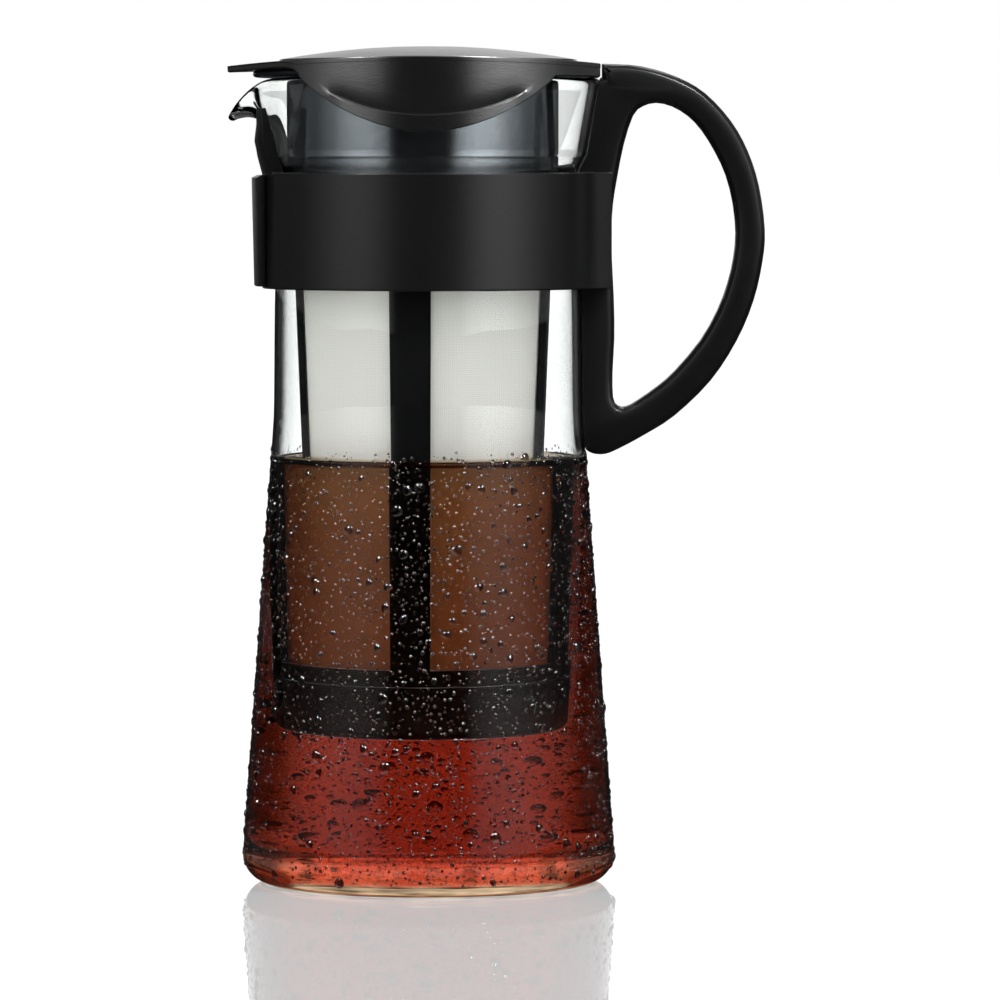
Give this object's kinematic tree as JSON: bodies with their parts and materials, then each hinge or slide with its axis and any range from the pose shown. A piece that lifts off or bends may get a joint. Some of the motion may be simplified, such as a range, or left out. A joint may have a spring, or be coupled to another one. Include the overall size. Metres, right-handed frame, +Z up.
{
  "type": "cold brew coffee pot",
  "caption": "Tall glass pot with a drooping beak, strap handle with D grip, lift-off domed lid and a hanging mesh basket strainer.",
  "frame": {"origin": "on the bowl's axis, at the middle of its flat foot, which rests on the table", "axes": "+Z up along the bowl's axis; the spout points to -X and the handle to +X"},
  "size_m": [0.1355, 0.094, 0.2112],
  "materials": {
    "glass": "clear blown borosilicate, fire-polished",
    "handle_plastic": "black polypropylene, fine satin grain",
    "lid_plastic": "black polypropylene, satin skirt with a glossy dome",
    "strainer_plastic": "black polypropylene, smooth",
    "mesh": "pale polyester filter mesh"
  },
  "bodies": {
    "pot": {"glass_bowl": "glass", "handle": "handle_plastic"},
    "lock": {"band_lock": "handle_plastic"},
    "strainer": {"strainer_collar": "strainer_plastic"},
    "basket": {"basket_frame": "strainer_plastic", "filter_mesh": "mesh", "basket_cup": "strainer_plastic"},
    "lid": {"lid": "lid_plastic"}
  },
  "joints": [
    {"name": "strainer_lift", "type": "slide", "parent": "pot", "child": "strainer", "axis": [0, 0, 1], "range_m": [0, 0.18]},
    {"name": "lid_lift", "type": "slide", "parent": "strainer", "child": "lid", "axis": [0, 0, 1], "range_m": [0, 0.045]},
    {"name": "basket_twist", "type": "hinge", "parent": "strainer", "child": "basket", "pos_m": [-0.0014, 0, 0.162], "axis": [0, 0, 1], "range_deg": [0, 26]},
    {"name": "lock_slide", "type": "slide", "parent": "pot", "child": "lock", "axis": [0, 0, -1], "range_m": [0, 0.034]}
  ]
}
